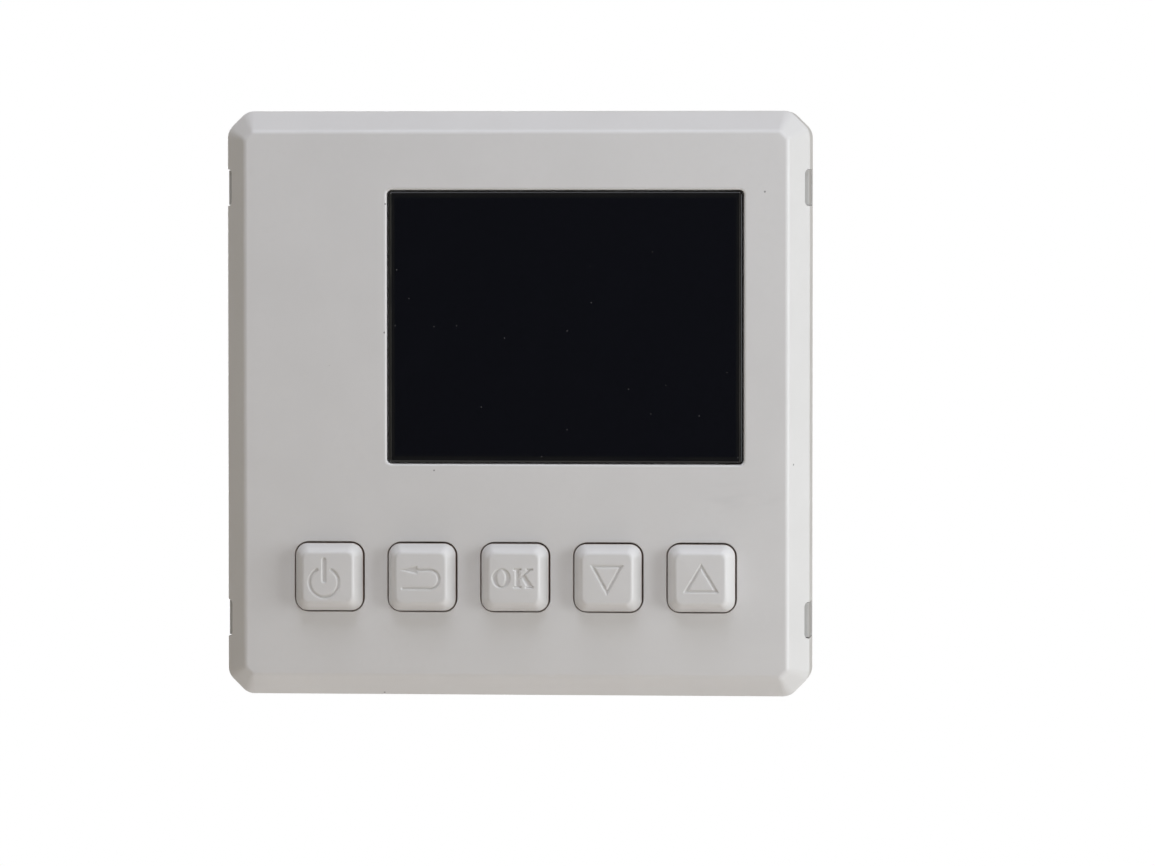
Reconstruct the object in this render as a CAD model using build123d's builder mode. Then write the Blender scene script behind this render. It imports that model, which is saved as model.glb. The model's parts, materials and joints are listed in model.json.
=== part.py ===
from build123d import *
import os
from math import cos, radians, sin

os.makedirs("parts", exist_ok=True)

# A square wall thermostat: a front unit with a colour display and five push buttons, clipped on a
# rear base whose power box sits inside the wall's mounting box.
#
# Millimetres. The wall is the plane Y = 0 and the front faces -Y, so a "height" below is a distance
# off the wall towards the room, and a negative height is a depth inside the wall. +Z is up.

# ---- Driving dimensions -------------------------------------------------------------------------

# Front cover
COVER_WIDTH = 86.0
FACE_HEIGHT = 13.0
SIDE_HEIGHT = 8.7
RIM_HEIGHT = 0.4
BEVEL_WIDTH = 3.0
FACE_WIDTH = COVER_WIDTH - 2 * BEVEL_WIDTH
CORNER_CUT = 2.9
CORNER_ROUND = 2.4
FACE_CORNER_CUT = 1.14
FACE_CORNER_ROUND = 0.7
FACE_EDGE_ROUND = 0.9
SIDE_EDGE_ROUND = 0.4
RIM_EDGE_ROUND = 0.3
COVER_WALL = 2.0
CAVITY_WIDTH = COVER_WIDTH - 2 * COVER_WALL
CAVITY_HEIGHT = FACE_HEIGHT - COVER_WALL
CAVITY_SIDE_HEIGHT = 8.0
CAVITY_TOP_WIDTH = 76.4
CAVITY_CORNER_CUT = 2.1
CAVITY_CORNER_ROUND = 1.4
CAVITY_TOP_CUT = 0.8
CAVITY_TOP_ROUND = 0.5

# Release slots in the cover's two sides, and the hooks that show in them
SLOT_Z = 31.75
SLOT_LENGTH = 5.35
SLOT_LOW = 2.2
SLOT_HIGH = 9.7
SLOT_CORNER = 0.7

# Display window
WINDOW_X = 7.3
WINDOW_Z = 11.3
WINDOW_WIDTH = 52.5
WINDOW_TALL = 40.2
WINDOW_CORNER = 0.7
WINDOW_EDGE_ROUND = 0.4
LEDGE_HEIGHT = 11.45
LEDGE_BACK = 10.2
LEDGE_FRAME_WIDTH = 56.0
LEDGE_FRAME_TALL = 43.4
VIEW_WIDTH = 49.4
VIEW_TALL = 37.2
LENS_GAP = 0.2
LENS_THICK = 1.1
LENS_EDGE_ROUND = 0.35
ADHESIVE_THICK = 0.2

# Display module
LCD_WIDTH = 60.2
LCD_TALL = 42.6
LCD_FRONT = 10.1
LCD_GLASS_THICK = 1.1
GUIDE_THICK = 0.9
LCD_BACK = 7.8
TRAY_WALL = 0.25
FLEX_WIDTH = 20.0
FLEX_THICK = 0.2

# Front circuit board
BOARD_THICK = 1.6
FRONT_BOARD_BACK = 4.6
FRONT_BOARD_FRONT = FRONT_BOARD_BACK + BOARD_THICK
FRONT_BOARD_WIDTH = 75.4
BOSS_X = 35.0
BOSS_Z = 35.4
BOSS_RADIUS = 2.1
BOARD_HOLE_RADIUS = 1.25
SCREW_RADIUS = 0.95
SCREW_BORE_RADIUS = 1.02
SCREW_HEAD_RADIUS = 1.9
SCREW_HEAD_THICK = 1.3
SCREW_LENGTH = 5.4
CROSS_RECESS_LENGTH = 2.0
CROSS_RECESS_WIDTH = 0.4
CROSS_RECESS_DEPTH = 0.8

# What the front circuit board carries
CHIP_BLOCKS = [
    ((4.0, 14.0), (4.0, 14.0), 1.4),
    ((20.0, 25.0), (8.0, 14.0), 1.3),
    ((-12.0, -7.0), (18.0, 22.0), 1.2),
]
CHIP_RESISTOR_LENGTH = 1.6
CHIP_RESISTOR_WIDTH = 0.8
CHIP_RESISTOR_THICK = 0.5
BUZZER_PLACE = (-31.0, 27.5)
BUZZER_RADIUS = 4.5
BUZZER_THICK = 3.0
BUZZER_HOLE_RADIUS = 0.8
BUZZER_HOLE_DEPTH = 0.8
CELL_PLACE = (-30.2, -8.5)
CELL_RADIUS = 6.2
CELL_THICK = 2.0
CELL_BACK = FRONT_BOARD_FRONT + 0.3
CLIP_THICK = 0.3
CLIP_WIDTH = 5.0
CLIP_SIDE_GAP = 0.2
CLIP_FRONT_GAP = 0.1
SENSOR_PLACE = (-34.5, -22.0)
SENSOR_RADIUS = 1.3
SENSOR_HEIGHT = 2.9
SENSOR_LEAD_RADIUS = 0.22
SENSOR_LEAD_SPACING = 1.4
CONNECTOR_THICK = 1.4
CONNECTOR_FLOOR = 0.5

# Push buttons
BUTTON_NAMES = ["power", "return", "ok", "down", "up"]
BUTTON_PITCH = 13.7
BUTTON_Z = -25.4
BUTTON_OPENING = 10.3
BUTTON_OPENING_CORNER = 2.05
BUTTON_OPENING_ROUND = 0.15
BUTTON_WIDTH = 9.75
BUTTON_CORNER = 1.75
BUTTON_BEVEL = 1.3
BUTTON_TOP_CORNER = 0.95
BUTTON_FOOT_HEIGHT = 13.1
BUTTON_TOP_HEIGHT = 15.4
BUTTON_EDGE_ROUND = 0.6
BUTTON_FLANGE = 11.6
BUTTON_FLANGE_FRONT = 10.9
BUTTON_FLANGE_BACK = 10.1
BUTTON_TRAVEL = 0.5
PLUNGER_RADIUS = 1.7
PLUNGER_FRONT = 9.7
PLUNGER_BACK = 8.3
SWITCH_WIDTH = 6.2
SWITCH_TOP = 8.8
SWITCH_BORE_RADIUS = 1.8
SWITCH_BORE_BACK = PLUNGER_BACK - BUTTON_TRAVEL - 0.3

# Symbols sunk into the button tops
LINE = 0.36
SYMBOL_DEPTH = 0.25

# Plug between the front unit and the base
PLUG_Z = -14.0
PLUG_PINS = 6
PLUG_PITCH = 2.54
PIN_WIDTH = 0.64
PIN_FRONT = 6.9
PIN_BACK = -1.8
HEADER_BACK = 2.6
SOCKET_FRONT = 2.2
SOCKET_HOLE_BACK = -2.4
SOCKET_LENGTH = PLUG_PINS * PLUG_PITCH + 0.4
SOCKET_WIDTH = PLUG_PITCH + 0.3

# Rear base
BASE_WIDTH = 81.2
BASE_THICK = 2.4
BASE_CORNER_CUT = 2.6
POCKET_WIDTH = 50.0
POCKET_DEPTH = 27.0
POCKET_WALL = 1.8
POCKET_INSIDE = POCKET_WIDTH - 2 * POCKET_WALL
POCKET_CORNER = 2.0
LID_LEDGE = 1.0
LID_BACK = 0.9
LID_FRONT = 2.3
STEP_Z = -11.0
STEP_DEPTH = 16.0
WALL_SCREW_SPACING = 60.0
WALL_SLOT_LENGTH = 6.6
WALL_SLOT_RADIUS = 2.1
WALL_RECESS_WIDTH = 9.4
WALL_RECESS_LENGTH = 12.0
WALL_RECESS_HEIGHT = 1.2
WALL_RECESS_CORNER = 2.5
BOX_EDGE_ROUND = 0.9
HOOK_ARM_INSIDE = 38.7
HOOK_ARM_OUTSIDE = 40.2
HOOK_ARM_TOP = 8.0
HOOK_WIDTH = 5.05
HOOK_CATCH = 2.9
HOOK_NOSE = 42.9
HOOK_CREST_X = 41.3
HOOK_CREST = 9.1
HOOK_SHOULDER = 8.3
HOOK_EDGE_ROUND = 0.5

# Power board and its parts
POWER_BOARD_WIDTH = 44.0
POWER_BOARD_FRONT = -3.0
POWER_BOARD_BACK = POWER_BOARD_FRONT - BOARD_THICK
POWER_POSTS = [(1.2, 19.6), (19.8, 19.6), (-19.6, -7.6)]
POST_RADIUS = 1.9
RELAY_X = (-20.0, -1.4)
RELAY_Z = (4.0, 19.4)
RELAY_TALL = 15.4
TRANSFORMER_PLACE = (10.6, 11.4)
TRANSFORMER_WIDTH = 13.4
TRANSFORMER_CORE = 6.0
CORE_LIMB = 2.0
CORE_YOKE = 2.6
CORE_MIDDLE_LIMB = 3.2
CORE_BACK = POWER_BOARD_BACK - 12.6
CORE_FRONT = POWER_BOARD_BACK - 0.6
COIL_LENGTH = 11.0
CAPACITOR_PLACES = [(2.4, -3.0), (11.6, -3.0)]
CAPACITOR_RADIUS = 4.0
CAPACITOR_TALL = 12.5
FILM_X = (-19.5, -7.5)
FILM_Z = (-3.8, 1.4)
FILM_TALL = 10.5
VARISTOR_X = 17.0
VARISTOR_Z = -4.2
VARISTOR_RADIUS = 4.4
VARISTOR_THICK = 3.6
VARISTOR_DEPTH = 5.0
FUSE_X = -16.4
FUSE_Z = -8.0
FUSE_RADIUS = 1.8
FUSE_LENGTH = 10.5
FUSE_DEPTH = 2.4
RECTIFIER_X = (-4.6, 0.4)
RECTIFIER_Z = (-10.6, -8.2)
RECTIFIER_TALL = 2.6

# Wire terminals
TERMINALS = 8
TERMINAL_PITCH = 5.0
TERMINAL_BLOCK_LENGTH = TERMINALS * TERMINAL_PITCH + 1.0
TERMINAL_LOW = -23.0
TERMINAL_HIGH = -12.6
WIRE_HOLE_WIDTH = 3.4
WIRE_HOLE_DEPTH = -8.6
TERMINAL_SCREW_RADIUS = 1.7
TERMINAL_WELL_RADIUS = 1.9
TERMINAL_SCREW_Z = -17.6
TERMINAL_WELL_DEPTH = 3.7
TERMINAL_SCREW_SINK = 0.8
TERMINAL_SCREW_HEAD = 1.7
TERMINAL_SHANK_RADIUS = 1.2
TERMINAL_SHANK_LENGTH = 3.0
TERMINAL_SLOT_LENGTH = 2.8
TERMINAL_SLOT_WIDTH = 0.5
CAGE_WIDTH = 3.9
CAGE_DEPTH = 6.4
CAGE_TALL = 6.8
CAGE_WALL = 0.5
CAGE_SINK = 0.8
CAGE_ROOM_TALL = 8.2
CAGE_SCREW_HOLE_RADIUS = 1.3
CAGE_Y = 0.5 - WIRE_HOLE_DEPTH


# ---- Helpers ------------------------------------------------------------------------------------


def level(height, x=0, z=0):
    """The plane that lies this far off the wall, seen from the room, centred on a place."""
    return Plane(origin=(x, -height, z), x_dir=(1, 0, 0), z_dir=(0, -1, 0))


def cut_corner_square(width, cut, rounding):
    """A square whose corners are cut at 45 degrees and softened."""
    Rectangle(width, width)
    chamfer(vertices(), cut)
    fillet(vertices(), rounding)


def round_rectangle(width, tall, corner):
    """A rectangle with rounded corners."""
    Rectangle(width, tall)
    fillet(vertices(), corner)


def cross_recess(length, width):
    """The crossed slots of a screw head."""
    Rectangle(length, width)
    Rectangle(width, length)


def box_between(x_range, z_range, low, high):
    """A plain block between two heights off the wall, added to the piece being made."""
    with Locations((sum(x_range) / 2, -(low + high) / 2, sum(z_range) / 2)):
        Box(x_range[1] - x_range[0], high - low, z_range[1] - z_range[0])


button_x = [(i - 2) * BUTTON_PITCH for i in range(len(BUTTON_NAMES))]
button_places = [(x, BUTTON_Z) for x in button_x]
boss_places = [(x, z) for x in (-BOSS_X, BOSS_X) for z in (-BOSS_Z, BOSS_Z)]
pin_places = [((i - (PLUG_PINS - 1) / 2) * PLUG_PITCH, PLUG_Z) for i in range(PLUG_PINS)]
terminal_x = [(i - (TERMINALS - 1) / 2) * TERMINAL_PITCH for i in range(TERMINALS)]

# ---- Front unit: cover, window and display ------------------------------------------------------

with BuildPart() as front_cover:
    with BuildSketch(level(RIM_HEIGHT)):
        cut_corner_square(COVER_WIDTH, CORNER_CUT, CORNER_ROUND)
    extrude(amount=SIDE_HEIGHT - RIM_HEIGHT)
    with BuildSketch(level(SIDE_HEIGHT)):
        cut_corner_square(COVER_WIDTH, CORNER_CUT, CORNER_ROUND)
    with BuildSketch(level(FACE_HEIGHT)):
        cut_corner_square(FACE_WIDTH, FACE_CORNER_CUT, FACE_CORNER_ROUND)
    loft(ruled=True)
    fillet(faces().sort_by(Axis.Y)[0].edges(), FACE_EDGE_ROUND)
    fillet(edges().filter_by_position(Axis.Y, -SIDE_HEIGHT - 0.01, -SIDE_HEIGHT + 0.01), SIDE_EDGE_ROUND)
    fillet(faces().sort_by(Axis.Y)[-1].edges(), RIM_EDGE_ROUND)

    # Hollow inside, following the bevel
    with BuildSketch(level(RIM_HEIGHT)):
        cut_corner_square(CAVITY_WIDTH, CAVITY_CORNER_CUT, CAVITY_CORNER_ROUND)
    extrude(amount=CAVITY_SIDE_HEIGHT - RIM_HEIGHT, mode=Mode.SUBTRACT)
    with BuildSketch(level(CAVITY_SIDE_HEIGHT)):
        cut_corner_square(CAVITY_WIDTH, CAVITY_CORNER_CUT, CAVITY_CORNER_ROUND)
    with BuildSketch(level(CAVITY_HEIGHT)):
        cut_corner_square(CAVITY_TOP_WIDTH, CAVITY_TOP_CUT, CAVITY_TOP_ROUND)
    loft(ruled=True, mode=Mode.SUBTRACT)

    # Screw bosses for the circuit board, and the frame that the lens ledge is cut from
    with BuildSketch(level(FRONT_BOARD_FRONT)):
        with Locations(boss_places):
            Circle(BOSS_RADIUS)
    extrude(amount=CAVITY_HEIGHT - FRONT_BOARD_FRONT + 0.2)
    with BuildSketch(level(LEDGE_BACK)):
        with Locations((WINDOW_X, WINDOW_Z)):
            round_rectangle(LEDGE_FRAME_WIDTH, LEDGE_FRAME_TALL, 1.0)
    extrude(amount=CAVITY_HEIGHT - LEDGE_BACK + 0.2)
    with BuildSketch(level(FRONT_BOARD_FRONT)):
        with Locations(boss_places):
            Circle(SCREW_BORE_RADIUS)
    extrude(amount=SCREW_LENGTH - BOARD_THICK + 0.3, mode=Mode.SUBTRACT)

    # Window: a shallow seat for the lens, and the view opening through its ledge
    with BuildSketch(level(LEDGE_HEIGHT)):
        with Locations((WINDOW_X, WINDOW_Z)):
            round_rectangle(WINDOW_WIDTH, WINDOW_TALL, WINDOW_CORNER)
    extrude(amount=FACE_HEIGHT - LEDGE_HEIGHT, mode=Mode.SUBTRACT)
    with BuildSketch(level(LEDGE_BACK)):
        with Locations((WINDOW_X, WINDOW_Z)):
            round_rectangle(VIEW_WIDTH, VIEW_TALL, WINDOW_CORNER)
    extrude(amount=LEDGE_HEIGHT - LEDGE_BACK, mode=Mode.SUBTRACT)

    # Button openings
    with BuildSketch(level(CAVITY_HEIGHT)):
        with Locations(button_places):
            Rectangle(BUTTON_OPENING, BUTTON_OPENING)
        fillet(vertices(), BUTTON_OPENING_CORNER)
    extrude(amount=COVER_WALL, mode=Mode.SUBTRACT)

    # The lips of the window and the button openings are softly rounded
    face = faces().filter_by(Plane.XZ).sort_by(Axis.Y)[0]
    lips = face.inner_wires().sort_by(SortBy.LENGTH)
    fillet(lips[-1].edges(), WINDOW_EDGE_ROUND)
    face = faces().filter_by(Plane.XZ).sort_by(Axis.Y)[0]
    lips = face.inner_wires().sort_by(SortBy.LENGTH)
    fillet([edge for lip in lips[:-1] for edge in lip.edges()], BUTTON_OPENING_ROUND)

    # Release slots, two in each side
    for side in (-1, 1):
        with BuildSketch(Plane.YZ.offset(side * COVER_WIDTH / 2)):
            with Locations(*[(-(SLOT_LOW + SLOT_HIGH) / 2, z) for z in (-SLOT_Z, SLOT_Z)]):
                Rectangle(SLOT_HIGH - SLOT_LOW, SLOT_LENGTH)
            fillet(vertices(), SLOT_CORNER)
        extrude(amount=-side * (COVER_WALL + 0.6), mode=Mode.SUBTRACT)

front_cover.part.label = "front_cover"
export_step(front_cover.part, "parts/front_cover.step")

with BuildPart() as display_lens:
    with BuildSketch(level(LEDGE_HEIGHT + ADHESIVE_THICK)):
        with Locations((WINDOW_X, WINDOW_Z)):
            round_rectangle(WINDOW_WIDTH - 2 * LENS_GAP, WINDOW_TALL - 2 * LENS_GAP, 0.5)
    extrude(amount=LENS_THICK)
    fillet(faces().sort_by(Axis.Y)[0].edges(), LENS_EDGE_ROUND)
display_lens.part.label = "display_lens"
export_step(display_lens.part, "parts/display_lens.step")

with BuildPart() as lens_adhesive:
    with BuildSketch(level(LEDGE_HEIGHT)):
        with Locations((WINDOW_X, WINDOW_Z)):
            Rectangle(WINDOW_WIDTH - 4 * LENS_GAP, WINDOW_TALL - 4 * LENS_GAP)
            Rectangle(VIEW_WIDTH + 0.2, VIEW_TALL + 0.2, mode=Mode.SUBTRACT)
    extrude(amount=ADHESIVE_THICK)
lens_adhesive.part.label = "lens_adhesive"
export_step(lens_adhesive.part, "parts/lens_adhesive.step")

with BuildPart() as lcd_frame:
    with BuildSketch(level(LCD_BACK)):
        with Locations((WINDOW_X, WINDOW_Z)):
            round_rectangle(LCD_WIDTH, LCD_TALL, 0.6)
    extrude(amount=LCD_FRONT - LCD_BACK)
    with BuildSketch(level(LCD_BACK + TRAY_WALL)):
        with Locations((WINDOW_X, WINDOW_Z)):
            Rectangle(LCD_WIDTH - 2 * TRAY_WALL, LCD_TALL - 2 * TRAY_WALL)
    extrude(amount=LCD_FRONT - LCD_BACK, mode=Mode.SUBTRACT)
    # The flexible circuit leaves through a notch in the left wall of the tray
    with BuildSketch(level(LCD_BACK + TRAY_WALL)):
        with Locations((WINDOW_X - LCD_WIDTH / 2, WINDOW_Z)):
            Rectangle(2.0, FLEX_WIDTH + 1.0)
    extrude(amount=LCD_FRONT - LCD_BACK, mode=Mode.SUBTRACT)
lcd_frame.part.label = "lcd_frame"
export_step(lcd_frame.part, "parts/lcd_frame.step")

lcd_inside_width = LCD_WIDTH - 2 * TRAY_WALL - 0.2
lcd_inside_tall = LCD_TALL - 2 * TRAY_WALL - 0.2
with BuildPart() as lcd_glass:
    with BuildSketch(level(LCD_FRONT - LCD_GLASS_THICK)):
        with Locations((WINDOW_X, WINDOW_Z)):
            Rectangle(lcd_inside_width, lcd_inside_tall)
    extrude(amount=LCD_GLASS_THICK)
lcd_glass.part.label = "lcd_glass"
export_step(lcd_glass.part, "parts/lcd_glass.step")

with BuildPart() as backlight_guide:
    with BuildSketch(level(LCD_FRONT - LCD_GLASS_THICK - GUIDE_THICK)):
        with Locations((WINDOW_X + 1.0, WINDOW_Z)):
            Rectangle(lcd_inside_width - 2.0, lcd_inside_tall)
    extrude(amount=GUIDE_THICK)
backlight_guide.part.label = "backlight_guide"
export_step(backlight_guide.part, "parts/backlight_guide.step")

# A moulded rim that spaces the display off the board
with BuildPart() as lcd_holder:
    with BuildSketch(level(FRONT_BOARD_FRONT)):
        with Locations((WINDOW_X, WINDOW_Z)):
            round_rectangle(LCD_WIDTH - 2.0, LCD_TALL, 1.0)
            Rectangle(LCD_WIDTH - 8.0, LCD_TALL - 6.0, mode=Mode.SUBTRACT)
    extrude(amount=LCD_BACK - FRONT_BOARD_FRONT)
lcd_holder.part.label = "lcd_holder"
export_step(lcd_holder.part, "parts/lcd_holder.step")

# The flexible circuit steps down from the glass to its connector
flex_start_x = WINDOW_X - LCD_WIDTH / 2 + TRAY_WALL
flex_end_x = flex_start_x - 5.5
flex_top = -(LCD_BACK + TRAY_WALL + 0.1)
flex_end_y = -(FRONT_BOARD_FRONT + 0.7)
flex_bend_x = flex_start_x - 2.2
with BuildPart() as lcd_flex:
    with BuildSketch(Plane.XY.offset(WINDOW_Z - FLEX_WIDTH / 2)):
        with BuildLine():
            FilletPolyline(
                (flex_start_x, flex_top),
                (flex_bend_x, flex_top),
                (flex_bend_x - 1.2, flex_end_y),
                (flex_end_x, flex_end_y),
                radius=0.4,
            )
        trace(line_width=FLEX_THICK)
    extrude(amount=FLEX_WIDTH)
lcd_flex.part.label = "lcd_flex"
export_step(lcd_flex.part, "parts/lcd_flex.step")

with BuildPart() as flex_connector:
    box_between(
        (flex_end_x - 3.4, flex_end_x + 0.8),
        (WINDOW_Z - FLEX_WIDTH / 2 - 1.5, WINDOW_Z + FLEX_WIDTH / 2 + 1.5),
        FRONT_BOARD_FRONT,
        FRONT_BOARD_FRONT + CONNECTOR_THICK,
    )
    with BuildSketch(level(FRONT_BOARD_FRONT + CONNECTOR_FLOOR)):
        with Locations((flex_end_x + 0.5, WINDOW_Z)):
            Rectangle(1.6, FLEX_WIDTH + 0.6)
    extrude(amount=CONNECTOR_THICK - CONNECTOR_FLOOR, mode=Mode.SUBTRACT)
flex_connector.part.label = "flex_connector"
export_step(flex_connector.part, "parts/flex_connector.step")

# ---- Front unit: circuit board and what it carries ----------------------------------------------

with BuildPart() as front_board:
    with BuildSketch(level(FRONT_BOARD_BACK)):
        Rectangle(FRONT_BOARD_WIDTH, FRONT_BOARD_WIDTH)
        chamfer(vertices(), 1.5)
        with Locations(boss_places):
            Circle(BOARD_HOLE_RADIUS, mode=Mode.SUBTRACT)
        with Locations(pin_places):
            Circle(0.5, mode=Mode.SUBTRACT)
    extrude(amount=BOARD_THICK)
front_board.part.label = "front_board"
export_step(front_board.part, "parts/front_board.step")

with BuildPart() as board_screws:
    with BuildSketch(level(FRONT_BOARD_BACK - SCREW_HEAD_THICK)):
        with Locations(boss_places):
            Circle(SCREW_HEAD_RADIUS)
    extrude(amount=SCREW_HEAD_THICK)
    fillet(faces().sort_by(Axis.Y)[-4:].edges(), 0.5)
    with BuildSketch(level(FRONT_BOARD_BACK)):
        with Locations(boss_places):
            Circle(SCREW_RADIUS)
    extrude(amount=SCREW_LENGTH)
    # Cross recess in each head
    with BuildSketch(level(FRONT_BOARD_BACK - SCREW_HEAD_THICK)):
        with Locations(boss_places):
            cross_recess(CROSS_RECESS_LENGTH, CROSS_RECESS_WIDTH)
    extrude(amount=CROSS_RECESS_DEPTH, mode=Mode.SUBTRACT)
board_screws.part.label = "board_screws"
export_step(board_screws.part, "parts/board_screws.step")

with BuildPart() as switch_bodies:
    with BuildSketch(level(FRONT_BOARD_FRONT)):
        with Locations(button_places):
            Rectangle(SWITCH_WIDTH, SWITCH_WIDTH)
    extrude(amount=SWITCH_TOP - FRONT_BOARD_FRONT)
    with BuildSketch(level(SWITCH_BORE_BACK)):
        with Locations(button_places):
            Circle(SWITCH_BORE_RADIUS)
    extrude(amount=SWITCH_TOP - SWITCH_BORE_BACK, mode=Mode.SUBTRACT)
switch_bodies.part.label = "switch_bodies"
export_step(switch_bodies.part, "parts/switch_bodies.step")

with BuildPart() as control_chips:
    for x_range, z_range, thick in CHIP_BLOCKS:
        box_between(x_range, z_range, FRONT_BOARD_BACK - thick, FRONT_BOARD_BACK)
control_chips.part.label = "control_chips"
export_step(control_chips.part, "parts/control_chips.step")

with BuildPart() as chip_resistors:
    with BuildSketch(level(FRONT_BOARD_BACK - CHIP_RESISTOR_THICK)):
        with Locations((9.0, 0.0), (9.0, 18.0)):
            with GridLocations(3.0, 1.0, 4, 1):
                Rectangle(CHIP_RESISTOR_WIDTH, CHIP_RESISTOR_LENGTH)
        with Locations((-20.0, 4.0)):
            with GridLocations(3.0, 4.0, 3, 3):
                Rectangle(CHIP_RESISTOR_LENGTH, CHIP_RESISTOR_WIDTH)
    extrude(amount=CHIP_RESISTOR_THICK)
chip_resistors.part.label = "chip_resistors"
export_step(chip_resistors.part, "parts/chip_resistors.step")

with BuildPart() as buzzer:
    with BuildSketch(level(FRONT_BOARD_FRONT)):
        with Locations(BUZZER_PLACE):
            Circle(BUZZER_RADIUS)
    extrude(amount=BUZZER_THICK)
    fillet(faces().sort_by(Axis.Y)[0].edges(), 0.4)
    with BuildSketch(level(FRONT_BOARD_FRONT + BUZZER_THICK - BUZZER_HOLE_DEPTH)):
        with Locations(BUZZER_PLACE):
            Circle(BUZZER_HOLE_RADIUS)
    extrude(amount=BUZZER_HOLE_DEPTH, mode=Mode.SUBTRACT)
buzzer.part.label = "buzzer"
export_step(buzzer.part, "parts/buzzer.step")

with BuildPart() as backup_cell:
    with BuildSketch(level(CELL_BACK)):
        with Locations(CELL_PLACE):
            Circle(CELL_RADIUS)
    extrude(amount=CELL_THICK)
    chamfer(faces().sort_by(Axis.Y)[0].edges(), 0.25)
backup_cell.part.label = "backup_cell"
export_step(backup_cell.part, "parts/backup_cell.step")

clip_half = CELL_RADIUS + CLIP_SIDE_GAP
clip_top = CELL_BACK + CELL_THICK + CLIP_FRONT_GAP
clip_x, clip_z = CELL_PLACE
with BuildPart() as cell_clip:
    box_between(
        (clip_x - clip_half - CLIP_THICK, clip_x + clip_half + CLIP_THICK),
        (clip_z - CLIP_WIDTH / 2, clip_z + CLIP_WIDTH / 2),
        FRONT_BOARD_FRONT,
        clip_top + CLIP_THICK,
    )
    with BuildSketch(level(FRONT_BOARD_FRONT)):
        with Locations(CELL_PLACE):
            Rectangle(2 * clip_half, CLIP_WIDTH)
    extrude(amount=clip_top - FRONT_BOARD_FRONT, mode=Mode.SUBTRACT)
cell_clip.part.label = "cell_clip"
export_step(cell_clip.part, "parts/cell_clip.step")

sensor_x, sensor_z = SENSOR_PLACE
with BuildPart() as room_sensor:
    with BuildSketch(level(FRONT_BOARD_FRONT)):
        with Locations(SENSOR_PLACE):
            with GridLocations(SENSOR_LEAD_SPACING, 1.0, 2, 1):
                Circle(SENSOR_LEAD_RADIUS)
    extrude(amount=SENSOR_HEIGHT - SENSOR_RADIUS / 2)
    with Locations((sensor_x, -(FRONT_BOARD_FRONT + SENSOR_HEIGHT), sensor_z)):
        Sphere(SENSOR_RADIUS)
room_sensor.part.label = "room_sensor"
export_step(room_sensor.part, "parts/room_sensor.step")

with BuildPart() as header_block:
    with BuildSketch(level(HEADER_BACK)):
        with Locations((0, PLUG_Z)):
            Rectangle(PLUG_PINS * PLUG_PITCH, PLUG_PITCH)
        with Locations(pin_places):
            Rectangle(PIN_WIDTH, PIN_WIDTH, mode=Mode.SUBTRACT)
    extrude(amount=FRONT_BOARD_BACK - HEADER_BACK)
header_block.part.label = "header_block"
export_step(header_block.part, "parts/header_block.step")

with BuildPart() as header_pins:
    with BuildSketch(level(PIN_BACK)):
        with Locations(pin_places):
            Rectangle(PIN_WIDTH, PIN_WIDTH)
    extrude(amount=PIN_FRONT - PIN_BACK)
header_pins.part.label = "header_pins"
export_step(header_pins.part, "parts/header_pins.step")

# ---- Push buttons -------------------------------------------------------------------------------


def power_symbol():
    """An open ring with an upright bar through its gap."""
    ring_radius, bar_width, bar_length, gap_half_angle = 2.05, 0.62, 3.6, 30.0
    wedge = 2 * ring_radius
    with Locations((-0.2, -0.75)):
        Circle(ring_radius + LINE / 2)
        Circle(ring_radius - LINE / 2, mode=Mode.SUBTRACT)
        Polygon(
            (0, 0),
            (wedge * sin(radians(gap_half_angle)), wedge * cos(radians(gap_half_angle))),
            (-wedge * sin(radians(gap_half_angle)), wedge * cos(radians(gap_half_angle))),
            align=None,
            mode=Mode.SUBTRACT,
        )
        SlotOverall(bar_length, bar_width, rotation=90, align=(Align.MIN, Align.CENTER))


def return_symbol():
    """An arrow that runs right, turns back on itself and points left."""
    top, bottom, tip, tail, turn_x = 1.15, -1.35, -2.9, -2.65, 1.65
    head_length, head_half = 2.4, 0.55
    radius = (top - bottom) / 2
    middle = (top + bottom) / 2
    for z, start in ((top, tip + head_length - 0.2), (bottom, tail)):
        with Locations(((start + turn_x) / 2, z)):
            Rectangle(turn_x - start, LINE)
    with BuildSketch(mode=Mode.PRIVATE) as turn:
        with Locations((turn_x, middle)):
            Circle(radius + LINE / 2)
            Circle(radius - LINE / 2, mode=Mode.SUBTRACT)
        with Locations((turn_x - 2 * radius, middle)):
            Rectangle(4 * radius, 4 * radius, mode=Mode.SUBTRACT)
    add(turn.sketch)
    Polygon(
        (tip, top),
        (tip + head_length, top + head_half),
        (tip + head_length, top - head_half),
        align=None,
    )


def ok_symbol():
    """The two letters of a plain confirm key, in thick and thin strokes."""
    tall, stem, serif, thin = 3.1, 0.62, 0.3, 0.26
    half = tall / 2
    with Locations((-1.62, 0)):
        Ellipse(1.42, half)
        Ellipse(0.72, half - thin, mode=Mode.SUBTRACT)
    stem_x = 0.62
    with Locations((stem_x, 0)):
        Rectangle(stem, tall)
    for z in (-half + thin / 2, half - thin / 2):
        with Locations((stem_x, z)):
            Rectangle(stem + 2 * serif, thin)
    Polygon((0.9, -0.3), (2.35, half - thin), (2.75, half - thin), (0.9, 0.05), align=None)
    Polygon((1.2, 0.2), (1.75, 0.6), (3.0, thin - half), (2.15, thin - half), align=None)
    with Locations((2.55, half - thin / 2)):
        Rectangle(1.05, thin)
    with Locations((2.58, thin / 2 - half)):
        Rectangle(1.3, thin)


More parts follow.
